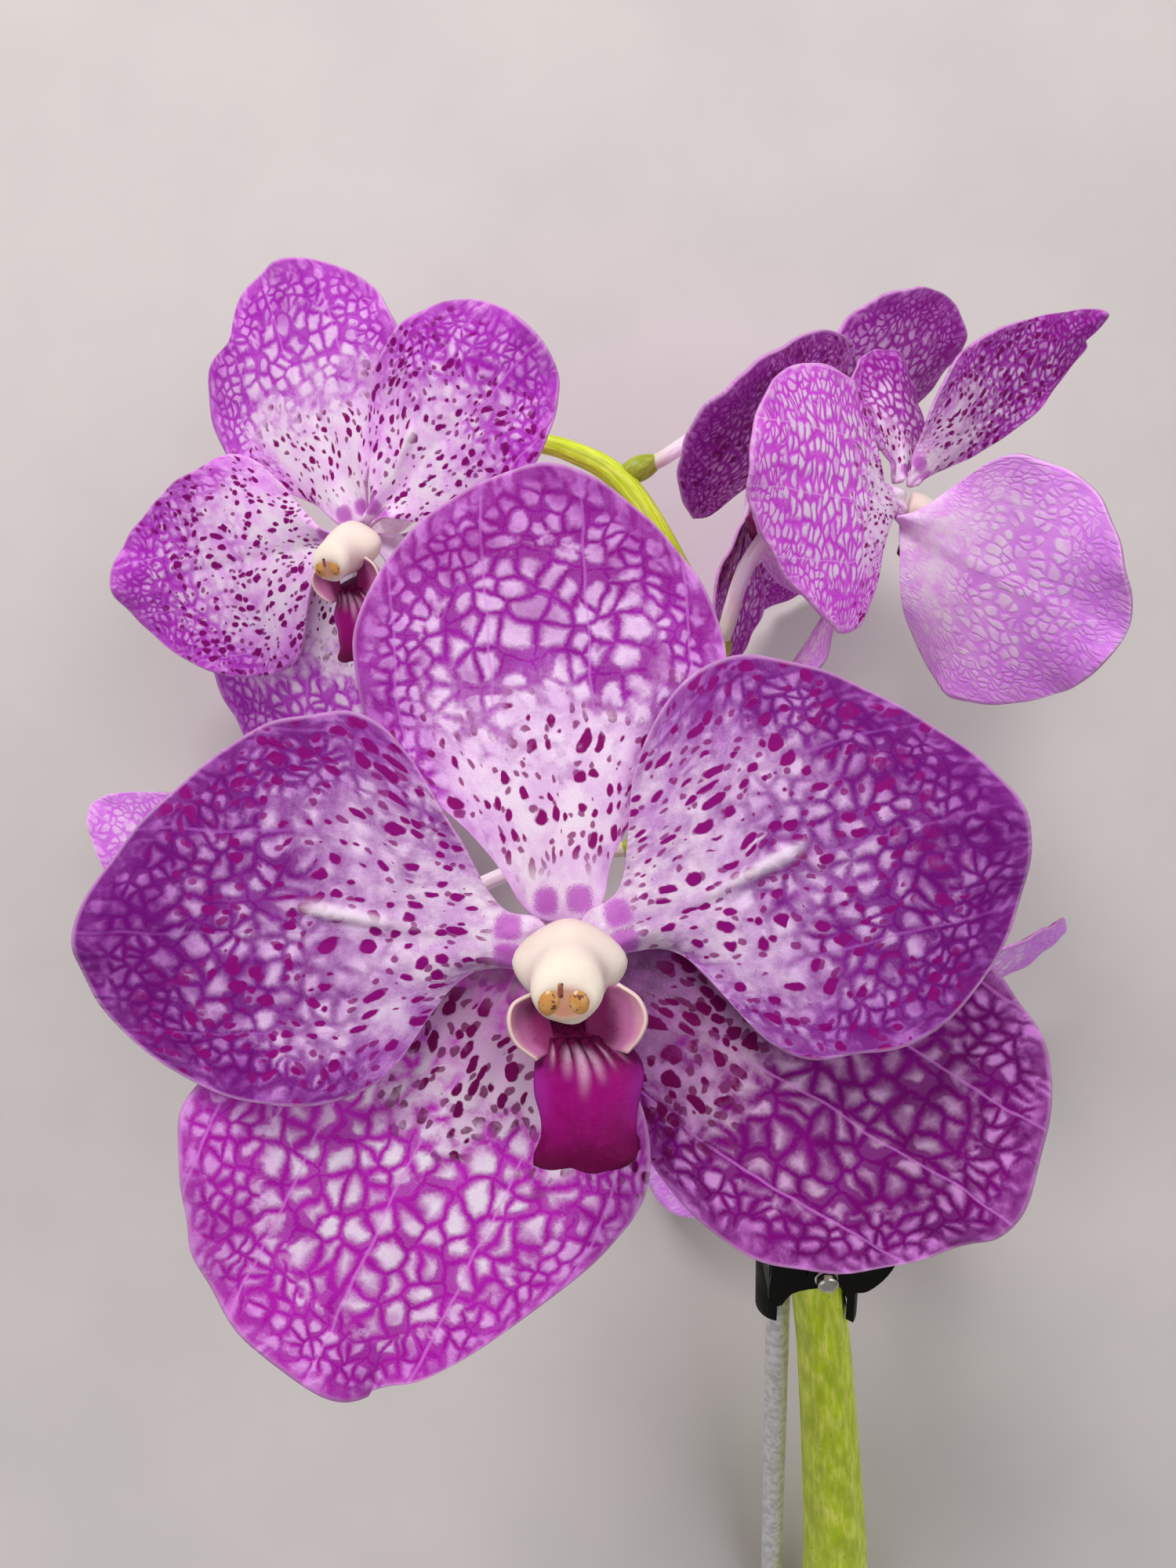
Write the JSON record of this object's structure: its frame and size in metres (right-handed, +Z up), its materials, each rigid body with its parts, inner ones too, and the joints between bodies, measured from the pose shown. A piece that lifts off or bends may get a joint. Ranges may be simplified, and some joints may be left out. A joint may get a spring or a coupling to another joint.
{
  "type": "vanda orchid spray",
  "caption": "Cut spray of purple vanda orchid blooms with netted petals on a green stem, held by a black spring clip to a thin metal stake, lying flat.",
  "frame": {"origin": "on the surface that the spray lies on, under the middle of its bounding box", "axes": "+Y along the spray from the stem's cut end towards the top blooms, +Z up from the surface towards the front bloom's face, +X to the right of that bloom as it is looked at"},
  "size_m": [0.166, 0.2368, 0.1138],
  "materials": {
    "tepal": "matt, waxy, netted in purple over white lilac",
    "column": "waxy cream with yellow tips",
    "lip": "velvety dark magenta, ridged",
    "pedicel": "satin pale pink",
    "stem": "satin green with pale fibres",
    "stake": "mottled zinc coating",
    "clip_plastic": "satin black",
    "clip_metal": "bright, slightly yellowed"
  },
  "bodies": {
    "spray": {"front_dorsal_sepal": "tepal", "front_petal_left": "tepal", "front_petal_right": "tepal", "front_sepal_left": "tepal", "front_sepal_right": "tepal", "front_column": "column", "front_lip": "lip", "front_pedicel": "pedicel", "upper_left_dorsal_sepal": "tepal", "upper_left_petal_left": "tepal", "upper_left_petal_right": "tepal", "upper_left_sepal_left": "tepal", "upper_left_sepal_right": "tepal", "upper_left_column": "column", "upper_left_lip": "lip", "upper_left_pedicel": "pedicel", "right_near_dorsal_sepal": "tepal", "right_near_petal_left": "tepal", "right_near_petal_right": "tepal", "right_near_sepal_left": "tepal", "right_near_sepal_right": "tepal", "right_near_column": "column", "right_near_lip": "lip", "right_near_pedicel": "pedicel", "right_far_dorsal_sepal": "tepal", "right_far_petal_left": "tepal", "right_far_petal_right": "tepal", "right_far_sepal_left": "tepal", "right_far_sepal_right": "tepal", "right_far_column": "column", "right_far_lip": "lip", "right_far_pedicel": "pedicel", "left_low_dorsal_sepal": "tepal", "left_low_petal_left": "tepal", "left_low_petal_right": "tepal", "left_low_sepal_left": "tepal", "left_low_sepal_right": "tepal", "left_low_column": "column", "left_low_lip": "lip", "left_low_pedicel": "pedicel", "right_low_dorsal_sepal": "tepal", "right_low_petal_left": "tepal", "right_low_petal_right": "tepal", "right_low_sepal_left": "tepal", "right_low_sepal_right": "tepal", "right_low_column": "column", "right_low_lip": "lip", "right_low_pedicel": "pedicel", "flower_stem": "stem", "stake": "stake", "clip_fixed_jaw": "clip_plastic", "clip_pin": "clip_metal", "clip_spring": "clip_metal"},
    "moving_jaw": {"clip_moving_jaw": "clip_plastic"}
  },
  "joints": [
    {"name": "clip_pivot", "type": "hinge", "parent": "spray", "child": "moving_jaw", "pos_m": [0.03443, -0.02401, 0.06092], "axis": [0.0322, -0.4723, 0.8809], "range_deg": [0, 18], "stiffness_Nm_per_rad": 0.02}
  ]
}
